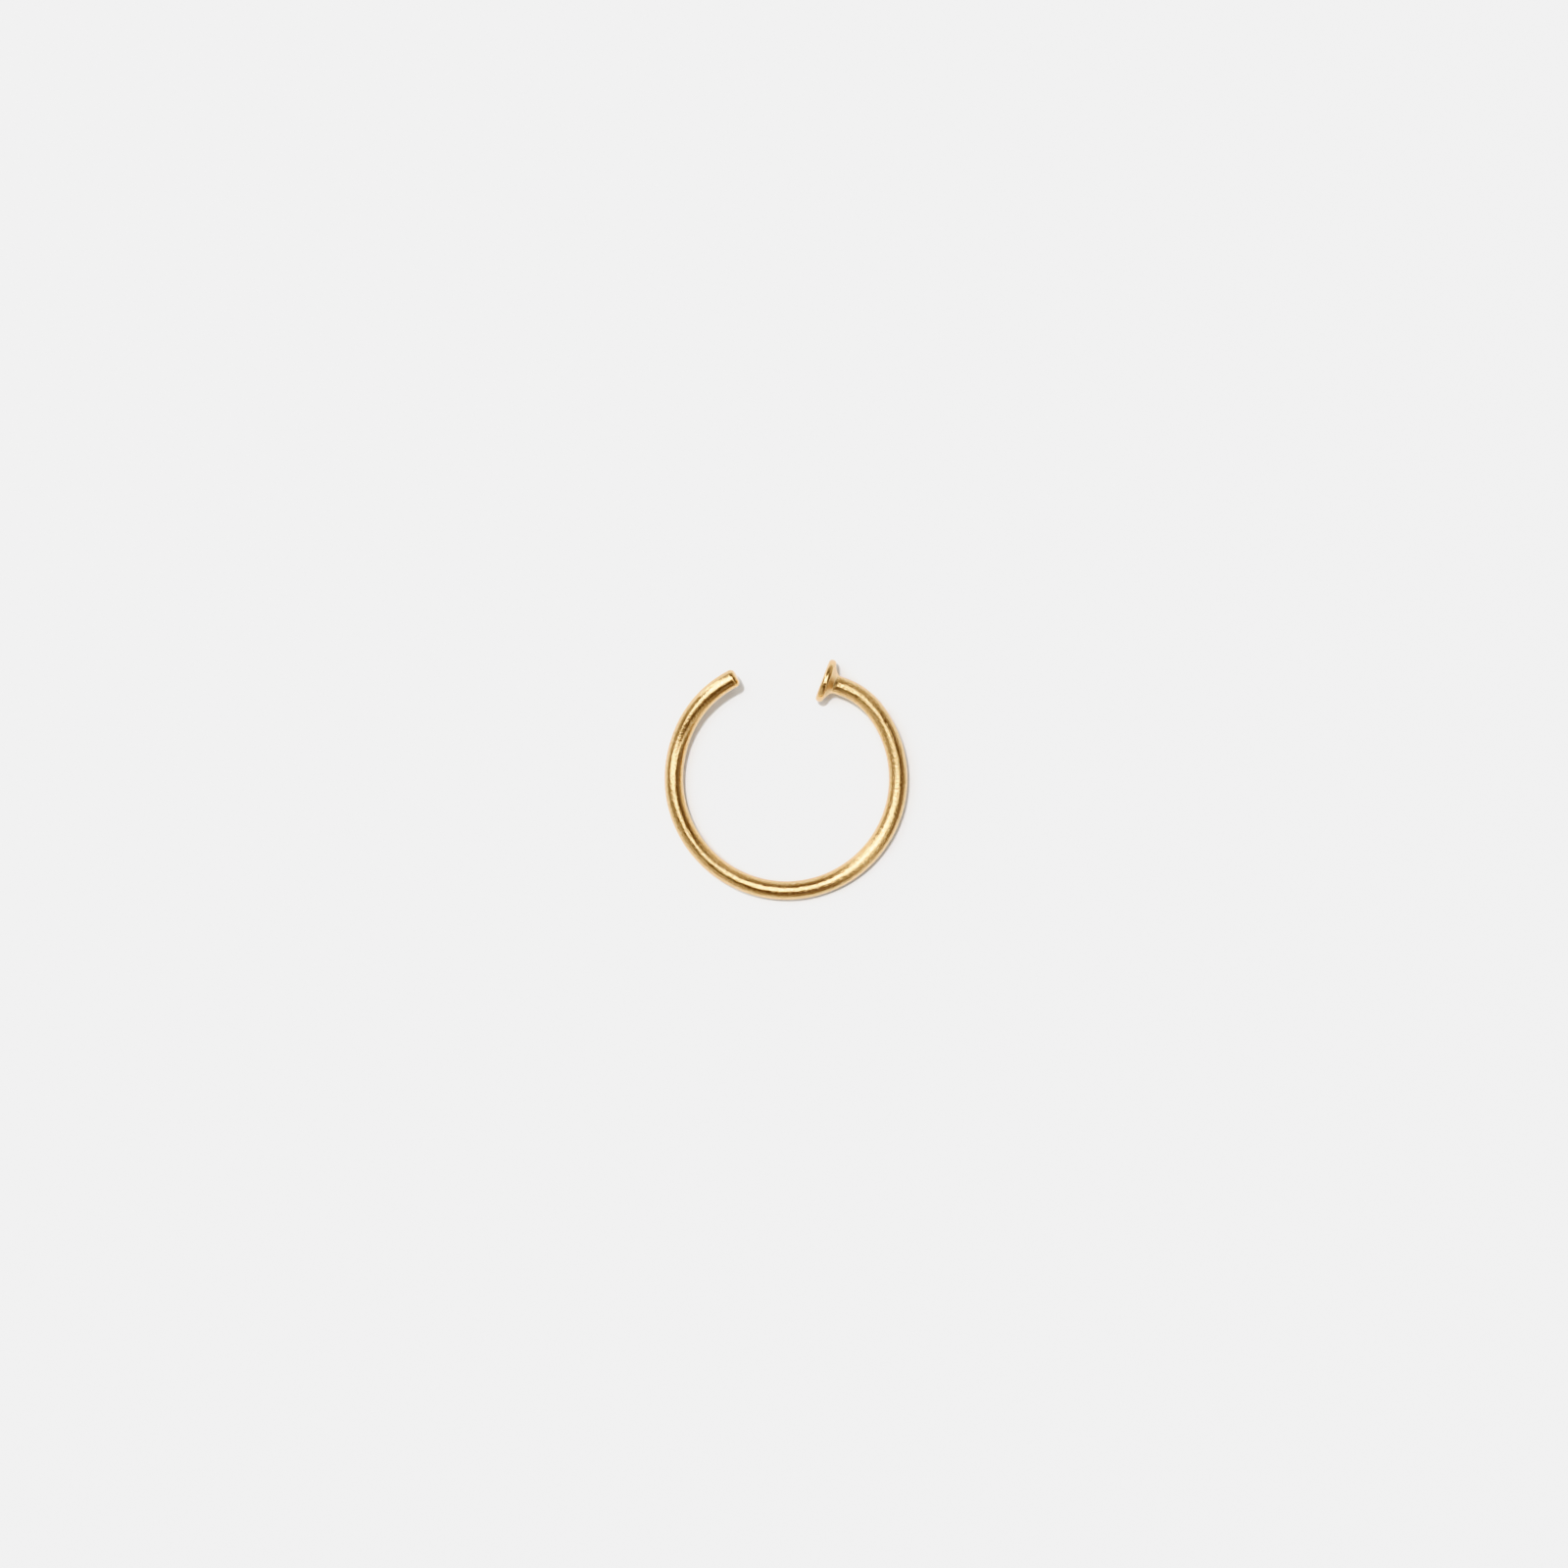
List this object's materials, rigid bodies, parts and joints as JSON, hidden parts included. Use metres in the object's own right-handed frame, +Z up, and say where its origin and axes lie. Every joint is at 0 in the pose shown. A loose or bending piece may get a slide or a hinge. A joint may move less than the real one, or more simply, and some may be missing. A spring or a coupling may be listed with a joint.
{
  "type": "nose ring",
  "caption": "Open round-wire nose hoop with a small flat disc soldered across one end and a plain filed free end.",
  "frame": {"origin": "middle of the hoop's footprint, on the level surface that it rests on", "axes": "+Z up from that surface, +Y from the hoop's centre to the gap between its ends, +X to the side of the gap that has the disc"},
  "size_m": [0.0106, 0.0104, 0.0019],
  "materials": {
    "gold": "satin yellow gold, finely worked with small file and brush marks"
  },
  "bodies": {
    "root": {"nose_hoop": "gold"}
  },
  "joints": []
}
